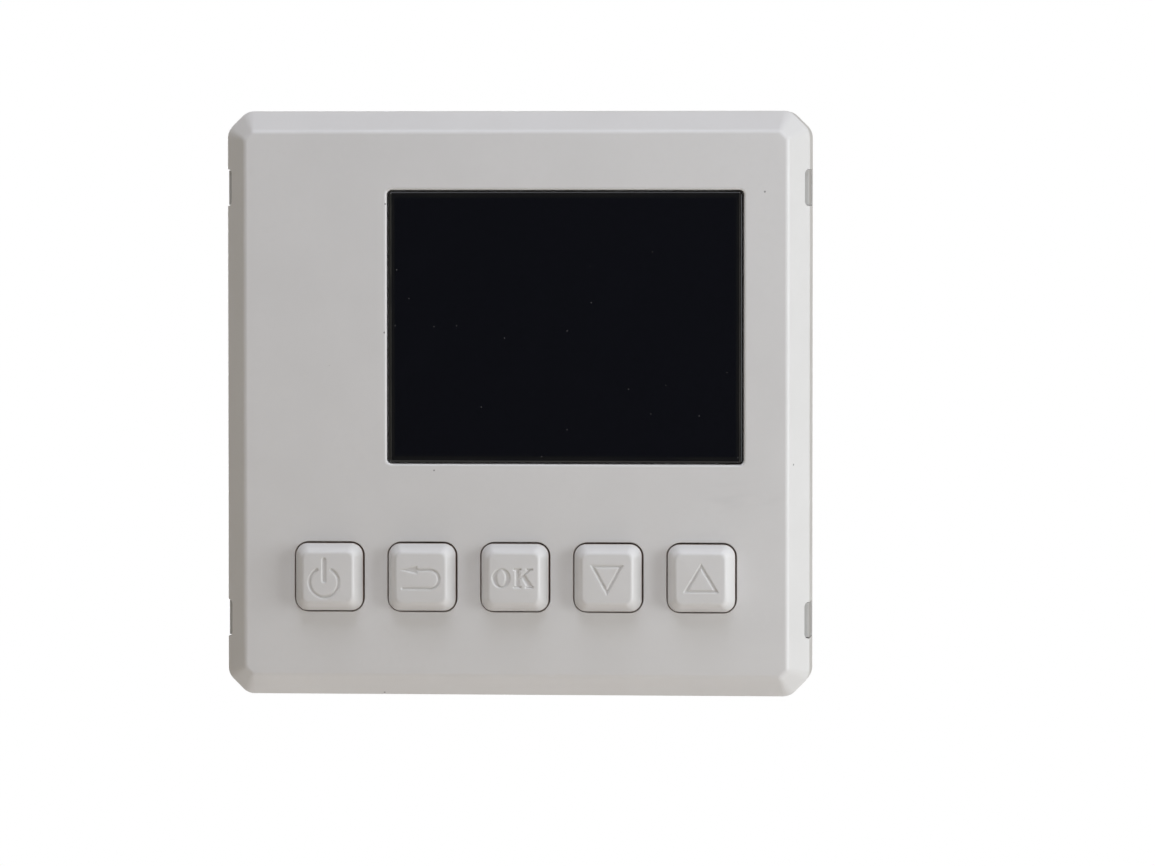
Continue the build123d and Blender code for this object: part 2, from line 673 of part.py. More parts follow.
def triangle_outline(width, tall, way):
    """The outline of an isosceles triangle pointing up for way 1, or down for way -1."""
    outer = [(-width / 2, -way * tall / 2), (width / 2, -way * tall / 2), (0, way * tall / 2)]
    with BuildSketch(mode=Mode.PRIVATE) as outline:
        Polygon(*outer, align=None)
        offset(amount=-LINE, kind=Kind.INTERSECTION, mode=Mode.SUBTRACT)
    add(outline.sketch)


def down_symbol():
    """A triangle that points down."""
    with Locations((0.15, -0.2)):
        triangle_outline(5.0, 4.3, -1)


def up_symbol():
    """A triangle that points up."""
    with Locations((0.2, 0.1)):
        triangle_outline(5.2, 4.6, 1)


symbols = {
    "power": power_symbol,
    "return": return_symbol,
    "ok": ok_symbol,
    "down": down_symbol,
    "up": up_symbol,
}

for name, x in zip(BUTTON_NAMES, button_x):
    with BuildPart() as button:
        with BuildSketch(level(BUTTON_FOOT_HEIGHT, x, BUTTON_Z)):
            round_rectangle(BUTTON_WIDTH, BUTTON_WIDTH, BUTTON_CORNER)
        with BuildSketch(level(BUTTON_TOP_HEIGHT, x, BUTTON_Z)):
            top_width = BUTTON_WIDTH - 2 * BUTTON_BEVEL
            round_rectangle(top_width, top_width, BUTTON_TOP_CORNER)
        loft(ruled=True)
        fillet(faces().sort_by(Axis.Y)[0].edges(), BUTTON_EDGE_ROUND)
        with BuildSketch(level(BUTTON_FLANGE_BACK, x, BUTTON_Z)):
            round_rectangle(BUTTON_WIDTH, BUTTON_WIDTH, BUTTON_CORNER)
        extrude(amount=BUTTON_FOOT_HEIGHT - BUTTON_FLANGE_BACK)
        with BuildSketch(level(BUTTON_FLANGE_BACK, x, BUTTON_Z)):
            round_rectangle(BUTTON_FLANGE, BUTTON_FLANGE, 1.0)
        extrude(amount=BUTTON_FLANGE_FRONT - BUTTON_FLANGE_BACK)
        # A short stub under the cap presses the switch's plunger
        with BuildSketch(level(PLUNGER_FRONT, x, BUTTON_Z)):
            Circle(PLUNGER_RADIUS)
        extrude(amount=BUTTON_FLANGE_BACK - PLUNGER_FRONT + 0.2)
        with BuildSketch(level(BUTTON_TOP_HEIGHT - SYMBOL_DEPTH, x, BUTTON_Z)):
            symbols[name]()
        extrude(amount=2 * SYMBOL_DEPTH, mode=Mode.SUBTRACT)
    button.part.label = f"button_{name}"
    export_step(button.part, f"parts/button_{name}.step")

    with BuildPart() as plunger:
        with BuildSketch(level(PLUNGER_BACK, x, BUTTON_Z)):
            Circle(PLUNGER_RADIUS)
        extrude(amount=PLUNGER_FRONT - PLUNGER_BACK)
    plunger.part.label = f"plunger_{name}"
    export_step(plunger.part, f"parts/plunger_{name}.step")

# ---- Rear base ----------------------------------------------------------------------------------

pocket_half = POCKET_WIDTH / 2
inside_half = POCKET_INSIDE / 2
floor_height = -(POCKET_DEPTH - POCKET_WALL)
step_floor_height = -(STEP_DEPTH - POCKET_WALL)
with BuildPart() as rear_base:
    with BuildSketch(level(0)):
        cut_corner_square(BASE_WIDTH, BASE_CORNER_CUT, 1.0)
    extrude(amount=BASE_THICK)
    # The power box, with a step at its lower end for the terminals
    with BuildSketch(level(-POCKET_DEPTH)):
        round_rectangle(POCKET_WIDTH, POCKET_WIDTH, POCKET_CORNER)
    extrude(amount=POCKET_DEPTH)
    fillet(faces().sort_by(Axis.Y)[-1].edges(), BOX_EDGE_ROUND)
    with BuildSketch(level(-POCKET_DEPTH)):
        with Locations((0, (STEP_Z - pocket_half) / 2 - 0.5)):
            Rectangle(POCKET_WIDTH + 2, STEP_Z + pocket_half + 1.0)
    extrude(amount=POCKET_DEPTH - STEP_DEPTH, mode=Mode.SUBTRACT)
    # Inside of the deep part, then of the shallow part
    with BuildSketch(level(floor_height)):
        with Locations((0, (STEP_Z + POCKET_WALL + inside_half) / 2)):
            Rectangle(POCKET_INSIDE, inside_half - STEP_Z - POCKET_WALL)
    extrude(amount=-floor_height - LID_BACK + LID_LEDGE * 1.5, mode=Mode.SUBTRACT)
    with BuildSketch(level(step_floor_height)):
        Rectangle(POCKET_INSIDE, POCKET_INSIDE)
    extrude(amount=-step_floor_height, mode=Mode.SUBTRACT)
    # Mouth of the box, and the seat of its lid
    with BuildSketch(level(0)):
        Rectangle(POCKET_INSIDE - 2 * LID_LEDGE, POCKET_INSIDE - 2 * LID_LEDGE)
    extrude(amount=BASE_THICK, mode=Mode.SUBTRACT)
    with BuildSketch(level(LID_BACK)):
        Rectangle(POCKET_INSIDE, POCKET_INSIDE)
    extrude(amount=BASE_THICK, mode=Mode.SUBTRACT)
    # Posts that carry the power board
    with BuildSketch(level(floor_height)):
        with Locations(POWER_POSTS):
            Circle(POST_RADIUS)
    extrude(amount=POWER_BOARD_BACK - floor_height)
    with BuildSketch(level(POWER_BOARD_BACK)):
        with Locations(POWER_POSTS):
            Circle(SCREW_BORE_RADIUS)
    extrude(amount=-(SCREW_LENGTH + 0.5), mode=Mode.SUBTRACT)
    # Openings for the terminals: the block's back, and the wire entries under it
    with BuildSketch(level(step_floor_height)):
        with Locations((0, (TERMINAL_LOW + TERMINAL_HIGH) / 2)):
            Rectangle(TERMINAL_BLOCK_LENGTH + 0.4, TERMINAL_HIGH - TERMINAL_LOW + 0.4)
    extrude(amount=-POCKET_WALL, mode=Mode.SUBTRACT)
    with BuildSketch(Plane.XY.offset(-pocket_half)):
        with Locations((0, -WIRE_HOLE_DEPTH)):
            round_rectangle(TERMINAL_BLOCK_LENGTH - 1.0, WIRE_HOLE_WIDTH + 1.6, 1.0)
    extrude(amount=POCKET_WALL, mode=Mode.SUBTRACT)
    # Slotted holes for the wall box's screws, in shallow seats for the heads
    wall_screw_places = [(x * WALL_SCREW_SPACING / 2, 0) for x in (-1, 1)]
    with BuildSketch(level(WALL_RECESS_HEIGHT)):
        with Locations(*[(x * 1.02, 0) for x, _ in wall_screw_places]):
            round_rectangle(WALL_RECESS_LENGTH, WALL_RECESS_WIDTH, WALL_RECESS_CORNER)
    extrude(amount=BASE_THICK, mode=Mode.SUBTRACT)
    with BuildSketch(level(0)):
        with Locations(wall_screw_places):
            SlotOverall(WALL_SLOT_LENGTH, 2 * WALL_SLOT_RADIUS)
    extrude(amount=WALL_RECESS_HEIGHT, mode=Mode.SUBTRACT)
rear_base.part.label = "rear_base"
export_step(rear_base.part, "parts/rear_base.step")

# Four hooks that rise off the base, fill the cover's release slots and catch on their rims
with BuildPart() as snap_hooks:
    for side in (-1, 1):
        for z in (-SLOT_Z, SLOT_Z):
            with BuildSketch(Plane.XY.offset(z - HOOK_WIDTH / 2)):
                Polygon(
                    (side * HOOK_ARM_OUTSIDE, -BASE_THICK),
                    (side * HOOK_ARM_OUTSIDE, -HOOK_CATCH),
                    (side * HOOK_NOSE, -HOOK_CATCH),
                    (side * HOOK_NOSE, -HOOK_SHOULDER),
                    (side * HOOK_CREST_X, -HOOK_CREST),
                    (side * HOOK_ARM_OUTSIDE, -HOOK_ARM_TOP),
                    (side * HOOK_ARM_INSIDE, -HOOK_ARM_TOP),
                    (side * HOOK_ARM_INSIDE, -BASE_THICK),
                    align=None,
                )
                crest = vertices().group_by(Axis.Y)[0]
                shoulder = vertices().group_by(Axis.Y)[1]
                fillet(crest + shoulder, HOOK_EDGE_ROUND)
            extrude(amount=HOOK_WIDTH)
snap_hooks.part.label = "snap_hooks"
export_step(snap_hooks.part, "parts/snap_hooks.step")

with BuildPart() as box_lid:
    with BuildSketch(level(LID_BACK)):
        Rectangle(POCKET_INSIDE - 0.3, POCKET_INSIDE - 0.3)
        with Locations((0, PLUG_Z)):
            Rectangle(SOCKET_LENGTH + 0.8, SOCKET_WIDTH + 0.8, mode=Mode.SUBTRACT)
    extrude(amount=LID_FRONT - LID_BACK)
box_lid.part.label = "box_lid"
export_step(box_lid.part, "parts/box_lid.step")

with BuildPart() as header_socket:
    with BuildSketch(level(POWER_BOARD_FRONT)):
        with Locations((0, PLUG_Z)):
            Rectangle(SOCKET_LENGTH, SOCKET_WIDTH)
    extrude(amount=SOCKET_FRONT - POWER_BOARD_FRONT)
    with BuildSketch(level(SOCKET_HOLE_BACK)):
        with Locations(pin_places):
            Rectangle(PIN_WIDTH + 0.3, PIN_WIDTH + 0.3)
    extrude(amount=SOCKET_FRONT - SOCKET_HOLE_BACK, mode=Mode.SUBTRACT)
header_socket.part.label = "header_socket"
export_step(header_socket.part, "parts/header_socket.step")

# ---- Power board --------------------------------------------------------------------------------

with BuildPart() as power_board:
    with BuildSketch(level(POWER_BOARD_BACK)):
        Rectangle(POWER_BOARD_WIDTH, POWER_BOARD_WIDTH)
        with Locations(POWER_POSTS):
            Circle(BOARD_HOLE_RADIUS, mode=Mode.SUBTRACT)
    extrude(amount=BOARD_THICK)
power_board.part.label = "power_board"
export_step(power_board.part, "parts/power_board.step")

with BuildPart() as power_board_screws:
    with BuildSketch(level(POWER_BOARD_FRONT)):
        with Locations(POWER_POSTS):
            Circle(SCREW_HEAD_RADIUS)
    extrude(amount=SCREW_HEAD_THICK)
    fillet(faces().sort_by(Axis.Y)[:3].edges(), 0.5)
    with BuildSketch(level(POWER_BOARD_FRONT - SCREW_LENGTH)):
        with Locations(POWER_POSTS):
            Circle(SCREW_RADIUS)
    extrude(amount=SCREW_LENGTH)
power_board_screws.part.label = "power_board_screws"
export_step(power_board_screws.part, "parts/power_board_screws.step")

with BuildPart() as relay:
    box_between(RELAY_X, RELAY_Z, POWER_BOARD_BACK - RELAY_TALL, POWER_BOARD_BACK)
    fillet(edges().filter_by(Axis.Y), 0.6)
relay.part.label = "relay"
export_step(relay.part, "parts/relay.step")

coil_front = CORE_FRONT - CORE_YOKE
coil_back = CORE_BACK + CORE_YOKE
transformer_x, transformer_z = TRANSFORMER_PLACE
with BuildPart() as transformer_core:
    with BuildSketch(Plane.XY.offset(transformer_z - TRANSFORMER_CORE / 2)):
        with Locations((transformer_x, -(CORE_BACK + CORE_FRONT) / 2)):
            Rectangle(TRANSFORMER_WIDTH, CORE_FRONT - CORE_BACK)
            Rectangle(TRANSFORMER_WIDTH - 2 * CORE_LIMB, coil_front - coil_back, mode=Mode.SUBTRACT)
            Rectangle(CORE_MIDDLE_LIMB, CORE_FRONT - CORE_BACK)
    extrude(amount=TRANSFORMER_CORE)
transformer_core.part.label = "transformer_core"
export_step(transformer_core.part, "parts/transformer_core.step")

with BuildPart() as transformer_coil:
    with BuildSketch(level(coil_back + 0.1)):
        with Locations(TRANSFORMER_PLACE):
            round_rectangle(TRANSFORMER_WIDTH - 2 * CORE_LIMB - 0.3, COIL_LENGTH, 1.0)
            Rectangle(CORE_MIDDLE_LIMB + 0.2, TRANSFORMER_CORE + 0.2, mode=Mode.SUBTRACT)
    extrude(amount=coil_front - coil_back - 0.2)
transformer_coil.part.label = "transformer_coil"
export_step(transformer_coil.part, "parts/transformer_coil.step")

with BuildPart() as filter_capacitors:
    with BuildSketch(level(POWER_BOARD_BACK - CAPACITOR_TALL)):
        with Locations(CAPACITOR_PLACES):
            Circle(CAPACITOR_RADIUS)
    extrude(amount=CAPACITOR_TALL)
    fillet(edges().filter_by(GeomType.CIRCLE), 0.5)
filter_capacitors.part.label = "filter_capacitors"
export_step(filter_capacitors.part, "parts/filter_capacitors.step")

with BuildPart() as film_capacitor:
    box_between(FILM_X, FILM_Z, POWER_BOARD_BACK - FILM_TALL, POWER_BOARD_BACK)
    fillet(edges().filter_by(Axis.Y), 0.5)
film_capacitor.part.label = "film_capacitor"
export_step(film_capacitor.part, "parts/film_capacitor.step")

with BuildPart() as varistor:
    with BuildSketch(Plane.YZ.offset(VARISTOR_X)):
        with Locations((VARISTOR_DEPTH - POWER_BOARD_BACK, VARISTOR_Z)):
            Circle(VARISTOR_RADIUS)
    extrude(amount=VARISTOR_THICK)
    fillet(edges().filter_by(GeomType.CIRCLE), 1.0)
varistor.part.label = "varistor"
export_step(varistor.part, "parts/varistor.step")

with BuildPart() as fuse:
    with BuildSketch(Plane.YZ.offset(FUSE_X)):
        with Locations((FUSE_DEPTH - POWER_BOARD_BACK, FUSE_Z)):
            Circle(FUSE_RADIUS)
    extrude(amount=FUSE_LENGTH)
    fillet(edges().filter_by(GeomType.CIRCLE), 0.4)
fuse.part.label = "fuse"
export_step(fuse.part, "parts/fuse.step")

with BuildPart() as rectifier:
    box_between(RECTIFIER_X, RECTIFIER_Z, POWER_BOARD_BACK - RECTIFIER_TALL, POWER_BOARD_BACK)
rectifier.part.label = "rectifier"
export_step(rectifier.part, "parts/rectifier.step")

# ---- Wire terminals -----------------------------------------------------------------------------

well_places = [(x, TERMINAL_SCREW_Z) for x in terminal_x]
cage_places = [(x, CAGE_Y) for x in terminal_x]
with BuildPart() as terminal_block:
    box_between(
        (-TERMINAL_BLOCK_LENGTH / 2, TERMINAL_BLOCK_LENGTH / 2),
        (TERMINAL_LOW, TERMINAL_HIGH),
        -STEP_DEPTH,
        POWER_BOARD_BACK,
    )
    # Screw wells from behind, and cage rooms with wire entries from below
    with BuildSketch(level(-STEP_DEPTH)):
        with Locations(well_places):
            Circle(TERMINAL_WELL_RADIUS)
    extrude(amount=TERMINAL_WELL_DEPTH, mode=Mode.SUBTRACT)
    with BuildSketch(Plane.XY.offset(TERMINAL_LOW)):
        with Locations(cage_places):
            Rectangle(CAGE_WIDTH + 0.2, CAGE_DEPTH + 0.4)
    extrude(amount=CAGE_ROOM_TALL, mode=Mode.SUBTRACT)
terminal_block.part.label = "terminal_block"
export_step(terminal_block.part, "parts/terminal_block.step")

with BuildPart() as terminal_clamps:
    with BuildSketch(Plane.XY.offset(TERMINAL_LOW + CAGE_SINK)):
        with Locations(cage_places):
            Rectangle(CAGE_WIDTH, CAGE_DEPTH)
    extrude(amount=CAGE_TALL)
    with BuildSketch(Plane.XY.offset(TERMINAL_LOW)):
        with Locations(*[(x, CAGE_Y - 0.9) for x in terminal_x]):
            Rectangle(CAGE_WIDTH - 2 * CAGE_WALL, 3.6)
    extrude(amount=CAGE_TALL + 2.0, mode=Mode.SUBTRACT)
    # The screw's hole through the cage's back
    with BuildSketch(level(WIRE_HOLE_DEPTH)):
        with Locations(well_places):
            Circle(CAGE_SCREW_HOLE_RADIUS)
    extrude(amount=-5.0, mode=Mode.SUBTRACT)
terminal_clamps.part.label = "terminal_clamps"
export_step(terminal_clamps.part, "parts/terminal_clamps.step")

with BuildPart() as terminal_screws:
    with BuildSketch(level(TERMINAL_SCREW_SINK - STEP_DEPTH)):
        with Locations(well_places):
            Circle(TERMINAL_SCREW_RADIUS)
    extrude(amount=TERMINAL_SCREW_HEAD)
    with BuildSketch(level(TERMINAL_SCREW_SINK - STEP_DEPTH + TERMINAL_SCREW_HEAD - 0.1)):
        with Locations(well_places):
            Circle(TERMINAL_SHANK_RADIUS)
    extrude(amount=TERMINAL_SHANK_LENGTH)
    with BuildSketch(level(TERMINAL_SCREW_SINK - STEP_DEPTH)):
        with Locations(well_places):
            cross_recess(TERMINAL_SLOT_LENGTH, TERMINAL_SLOT_WIDTH)
    extrude(amount=0.8, mode=Mode.SUBTRACT)
terminal_screws.part.label = "terminal_screws"
export_step(terminal_screws.part, "parts/terminal_screws.step")
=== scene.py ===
import json
import math

import bmesh
import bpy
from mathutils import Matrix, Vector


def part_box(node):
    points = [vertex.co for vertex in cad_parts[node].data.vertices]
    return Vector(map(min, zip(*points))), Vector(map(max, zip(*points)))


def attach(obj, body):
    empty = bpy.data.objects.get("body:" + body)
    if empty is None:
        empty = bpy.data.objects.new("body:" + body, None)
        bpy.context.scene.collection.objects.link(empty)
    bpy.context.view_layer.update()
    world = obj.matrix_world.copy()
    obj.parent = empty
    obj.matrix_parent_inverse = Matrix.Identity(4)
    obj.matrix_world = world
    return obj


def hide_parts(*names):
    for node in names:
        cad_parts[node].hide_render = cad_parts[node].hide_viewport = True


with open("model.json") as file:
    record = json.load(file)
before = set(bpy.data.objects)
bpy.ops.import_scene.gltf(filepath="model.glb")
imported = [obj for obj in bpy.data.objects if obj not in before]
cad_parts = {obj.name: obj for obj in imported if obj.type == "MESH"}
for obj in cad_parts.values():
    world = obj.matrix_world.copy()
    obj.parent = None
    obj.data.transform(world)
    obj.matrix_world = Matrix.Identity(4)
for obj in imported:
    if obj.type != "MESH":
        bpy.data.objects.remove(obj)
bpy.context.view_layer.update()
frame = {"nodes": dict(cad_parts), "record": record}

# The looks of a square wall thermostat: push caps with sunk symbols, moulded plastic, a dark window
# and the finishes of everything inside. The wall is the plane Y = 0, the front faces -Y and Z is up.

MM = 0.001
nodes = frame["nodes"]

# ---- Materials ----------------------------------------------------------------------------------


class Finish:
    """One procedural material. Its patterns follow object coordinates, in metres."""

    def __init__(self, name, colour, roughness, metallic=0.0):
        self.material = bpy.data.materials.new(name)
        self.material.use_nodes = True
        self.tree = self.material.node_tree
        self.shader = self.tree.nodes["Principled BSDF"]
        self.colour = (*colour[:3], 1.0)
        self.shader.inputs["Base Color"].default_value = self.colour
        self.shader.inputs["Roughness"].default_value = roughness
        self.shader.inputs["Metallic"].default_value = metallic
        self.place = self.add("ShaderNodeTexCoord").outputs["Object"]

    def add(self, kind, inputs=(), **settings):
        """A new node with these settings, and these sockets set or linked."""
        node = self.tree.nodes.new(kind)
        for key, value in settings.items():
            setattr(node, key, value)
        for socket, value in dict(inputs).items():
            if isinstance(value, bpy.types.NodeSocket):
                self.tree.links.new(value, node.inputs[socket])
            else:
                node.inputs[socket].default_value = value
        return node

    def math(self, operation, *values):
        """The result of one sum on numbers or sockets."""
        return self.add("ShaderNodeMath", dict(enumerate(values)), operation=operation).outputs[0]

    def noise(self, size, detail=2.0, distortion=0.0, stretch=(1, 1, 1)):
        """Soft noise from 0 to 1 with features of this size, stretched along the axes."""
        shrink = [1 / factor for factor in stretch]
        stretched = self.add("ShaderNodeMapping", {"Vector": self.place, "Scale": shrink})
        sockets = {"Vector": stretched.outputs[0], "Scale": 1 / size, "Detail": detail}
        sockets["Distortion"] = distortion
        return self.add("ShaderNodeTexNoise", sockets).outputs[0]

    def ease(self, value, low, high, to_low=0.0, to_high=1.0):
        """value's range from low to high, turned smoothly into another range."""
        sockets = {"Value": value, "From Min": low, "From Max": high}
        sockets.update({"To Min": to_low, "To Max": to_high})
        return self.add("ShaderNodeMapRange", sockets, interpolation_type="SMOOTHSTEP").outputs[0]

    def paint(self, factor, colour):
        """Mixes a colour into the base colour where factor is 1."""
        mix = self.add("ShaderNodeMix", {0: factor, 7: (*colour[:3], 1.0)}, data_type="RGBA")
        base = self.shader.inputs["Base Color"]
        if base.is_linked:
            self.tree.links.new(base.links[0].from_socket, mix.inputs[6])
        else:
            mix.inputs[6].default_value = self.colour
        self.tree.links.new(mix.outputs[2], base)

    def vary(self, socket, value):
        """Feeds a pattern into one of the shader's sockets."""
        self.tree.links.new(value, self.shader.inputs[socket])

    def bump(self, height, depth):
        """Raises the surface by up to depth where height is 1, over any bump already there."""
        node = self.add("ShaderNodeBump", {"Height": height, "Distance": depth, "Strength": 1.0})
        normal = self.shader.inputs["Normal"]
        if normal.is_linked:
            self.tree.links.new(normal.links[0].from_socket, node.inputs["Normal"])
        self.tree.links.new(node.outputs[0], normal)

    def dots(self, spacing, radius, share):
        """1 in small round dots, in this share of cells of this spacing."""
        cells = self.add("ShaderNodeTexVoronoi", {"Vector": self.place, "Scale": 1 / spacing})
        channels = self.add("ShaderNodeSeparateColor", {"Color": cells.outputs["Color"]})
        chosen = self.math("LESS_THAN", channels.outputs[0], share)
        near = self.ease(cells.outputs["Distance"], radius / spacing, 0.5 * radius / spacing)
        return self.math("MULTIPLY", near, chosen)


def scaled(colour, factor):
    return [channel * factor for channel in colour[:3]]


COVER_ROUGHNESS = 0.42
SHEEN_SPREAD = 0.04
SPECK_SPACING = 4.0 * MM
SPECK_RADIUS = 0.2 * MM
RUBBED_BELOW_WINDOW = 5 * MM
RUBBED_REACH = 9 * MM
RUBBED_CORE = 2 * MM
# Painted shade on the caps: where the bevel's darkening starts and ends, in millimetres above the
# cover's face, and the warm shade colour of the gap.
PAINTED_SHADE_TOP = 1.9 * MM
PAINTED_SHADE_FOOT = 0.2 * MM
GAP_SHADE = (0.52, 0.40, 0.33)
# Painted shade: the snap hooks' darker grey, so that they read as shaded inside the cover's slots.
HOOK_SHADE_TONE = (0.46, 0.45, 0.435)


def moulded(name, colour, roughness, grain=0.25 * MM, depth=0.006 * MM):
    """Moulded plastic: a fine spark-eroded grain, slow changes of tone and uneven sheen."""
    finish = Finish(name, colour, roughness)
    finish.paint(finish.ease(finish.noise(14 * MM, 3), 0.35, 0.7), scaled(colour, 0.97))
    finish.paint(finish.ease(finish.noise(1.1 * MM, 2), 0.45, 0.8), scaled(colour, 0.985))
    low, high = roughness - SHEEN_SPREAD, roughness + SHEEN_SPREAD
    finish.vary("Roughness", finish.ease(finish.noise(6 * MM, 4), 0.3, 0.7, low, high))
    finish.bump(finish.noise(grain, 2), depth)
    return finish


def cover_plastic(name, colour):
    """The satin shell: moulded grain, a few dark specks and a faint rubbed patch below the window."""
    finish = moulded(name, colour, COVER_ROUGHNESS)
    finish.paint(finish.dots(SPECK_SPACING, SPECK_RADIUS, 0.3), scaled(colour, 0.35))
    lens_low, lens_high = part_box("display_lens")
    centre = (lens_high.x, 0, lens_low.z - RUBBED_BELOW_WINDOW)
    vector = "ShaderNodeVectorMath"
    offset = finish.add(vector, {0: finish.place, 1: centre}, operation="SUBTRACT").outputs[0]
    flat = finish.add(vector, {0: offset, 1: (1, 0, 3)}, operation="MULTIPLY").outputs[0]
    distance = finish.add(vector, {0: flat}, operation="LENGTH").outputs["Value"]
    patch = finish.ease(distance, RUBBED_REACH, RUBBED_CORE)
    streaks = finish.ease(finish.noise(1.6 * MM, 3, stretch=(3, 1, 1)), 0.4, 0.75)
    rubbed = finish.math("MULTIPLY", finish.math("MULTIPLY", patch, streaks), 0.3)
    finish.paint(rubbed, scaled(colour, 0.82))
    return finish


def cap_plastic(name, colour):
    """The cover's plastic, with painted shade that darkens the bevel towards its foot and colours the
    skirt down in the gap.
    """
    finish = moulded(name, colour, COVER_ROUGHNESS)
    parts = finish.add("ShaderNodeSeparateXYZ", {0: finish.place})
    proud = finish.math("SUBTRACT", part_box("front_cover")[0].y, parts.outputs[1])
    # Painted shade: the bevel darkens from near its top towards its foot, and the skirt below the face
    # takes the gap's shade colour.
    finish.paint(finish.ease(proud, PAINTED_SHADE_TOP, PAINTED_SHADE_FOOT, 0.0, 0.5), scaled(colour, 0.8))
    finish.paint(finish.ease(proud, 0.25 * MM, -0.1 * MM), GAP_SHADE)
    return finish


def shaded_hook_plastic(name, colour):
    """The snap hooks' matt plastic, darker than the cover round them as painted shade inside the
    cover's slots.
    """
    return moulded(name, colour, 0.6, 0.4 * MM, 0.01 * MM)


def base_plastic(name, colour):
    return moulded(name, colour, 0.55, 0.4 * MM, 0.01 * MM)


def dark_plastic(name, colour):
    return moulded(name, colour, 0.5, 0.12 * MM, 0.004 * MM)


def glossy_plastic(name, colour):
    return moulded(name, colour, 0.32, 0.5 * MM, 0.004 * MM)


def frame_distance(finish, node, axes=(0, 2)):
    """How far a point is inside a node's box along its nearest of these axes, as a socket in metres."""
    low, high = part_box(node)
    centre, half = (low + high) / 2, (high - low) / 2
    parts = finish.add("ShaderNodeSeparateXYZ", {0: finish.place})
    distances = []
    for axis in axes:
        offset = finish.math("ABSOLUTE", finish.math("SUBTRACT", parts.outputs[axis], centre[axis]))
        distances.append(finish.math("SUBTRACT", half[axis], offset))
    return finish.math("MINIMUM", *distances)


PRINT_BORDER = 0.925 * MM
PRINT_SOFTNESS = 0.075 * MM
# Where the painted reflection lines run, inside the lens's side edges.
SIDE_REFLECTION_NEAR = 0.33 * MM
SIDE_REFLECTION_FAR = 0.47 * MM
SIDE_REFLECTION_SOFTNESS = 0.03 * MM


def lens(name, colour):
    """Dark tinted sheet: printed border, a painted reflection as a fine light line by each side, dust
    and a film of fingerprints.
    """
    finish = Finish(name, colour, 0.09)
    inside = frame_distance(finish, "display_lens")
    border = finish.ease(inside, PRINT_BORDER + PRINT_SOFTNESS, PRINT_BORDER - PRINT_SOFTNESS)
    finish.paint(border, (0.011, 0.011, 0.011))
    beside = frame_distance(finish, "display_lens", (0,))
    soft = SIDE_REFLECTION_SOFTNESS
    # Painted reflection: a fine lighter line just inside each side edge, where the sheet's rounded edge
    # would catch the light.
    reflection_in = finish.ease(beside, SIDE_REFLECTION_NEAR - soft, SIDE_REFLECTION_NEAR + soft)
    reflection_out = finish.ease(beside, SIDE_REFLECTION_FAR + soft, SIDE_REFLECTION_FAR - soft)
    finish.paint(finish.math("MULTIPLY", reflection_in, reflection_out), (0.055, 0.053, 0.048))
    film = finish.noise(9 * MM, 4, distortion=0.6)
    finish.paint(finish.ease(film, 0.4, 0.75, 0.0, 0.5), (0.0044, 0.0047, 0.0072))
    finish.paint(finish.dots(1.8 * MM, 0.11 * MM, 0.35), (0.09, 0.09, 0.09))
    finish.vary("Roughness", finish.ease(film, 0.35, 0.75, 0.06, 0.16))
    finish.bump(finish.noise(2.5 * MM, 2), 0.001 * MM)
    return finish


def glass(name, colour):
    """Glossy display glass with a black border."""
    finish = Finish(name, colour, 0.08)
    border = finish.ease(frame_distance(finish, "lcd_glass"), 2.2 * MM, 2.0 * MM)
    finish.paint(border, (0.004, 0.004, 0.004))
    finish.vary("Roughness", finish.ease(finish.noise(5 * MM, 3), 0.3, 0.7, 0.05, 0.12))
    return finish


def steel(name, colour):
    """Rolled or plated metal with fine drawn lines."""
    finish = Finish(name, colour, 0.3, 1.0)
    lines = finish.noise(0.15 * MM, 3, stretch=(14, 1, 1))
    finish.vary("Roughness", finish.ease(lines, 0.3, 0.7, 0.24, 0.4))
    finish.paint(finish.ease(finish.noise(3 * MM, 4), 0.4, 0.8), scaled(colour, 0.86))
    finish.bump(lines, 0.004 * MM)
    return finish


def circuit_board(name, colour):
    """Solder mask over copper tracks, with tinned pads."""
    finish = Finish(name, colour, 0.34)
    cells = {"Vector": finish.place, "Scale": 1 / (3.2 * MM), "Randomness": 0.7}
    settings = {"distance": "CHEBYCHEV", "feature": "F2"}
    second = finish.add("ShaderNodeTexVoronoi", cells, **settings).outputs["Distance"]
    first = finish.add("ShaderNodeTexVoronoi", cells, distance="CHEBYCHEV").outputs["Distance"]
    tracks = finish.ease(finish.math("SUBTRACT", second, first), 0.07, 0.03)
    finish.paint(finish.ease(finish.noise(5 * MM, 3), 0.3, 0.7), scaled(colour, 0.8))
    finish.paint(tracks, scaled(colour, 1.22))
    finish.bump(tracks, 0.03 * MM)
    pads = finish.dots(2.6 * MM, 0.5 * MM, 0.3)
    finish.paint(pads, (0.62, 0.62, 0.6))
    finish.vary("Metallic", pads)
    return finish


def ceramic(name, colour):
    finish = moulded(name, colour, 0.45, 0.2 * MM, 0.01 * MM)
    finish.paint(finish.dots(0.5 * MM, 0.1 * MM, 0.3), scaled(colour, 2.0))
    return finish


def film_sheet(name, colour):
    """Amber film with the darker copper lines that run along it."""
    finish = Finish(name, colour, 0.3)
    sockets = {"Vector": finish.place, "Scale": 1 / (1.6 * MM)}
    lines = finish.add("ShaderNodeTexWave", sockets, bands_direction="Z").outputs["Fac"]
    finish.paint(finish.ease(lines, 0.55, 0.75), scaled(colour, 0.55))
    finish.bump(lines, 0.01 * MM)
    return finish


def wound_tape(name, colour):
    """Layers of wound tape, whose edges show as fine ribs."""
    finish = Finish(name, colour, 0.4)
    sockets = {"Vector": finish.place, "Scale": 1 / (2.4 * MM), "Distortion": 1.0}
    layers = finish.add("ShaderNodeTexWave", sockets, bands_direction="Y").outputs["Fac"]
    finish.paint(layers, scaled(colour, 0.8))
    finish.bump(layers, 0.05 * MM)
    return finish


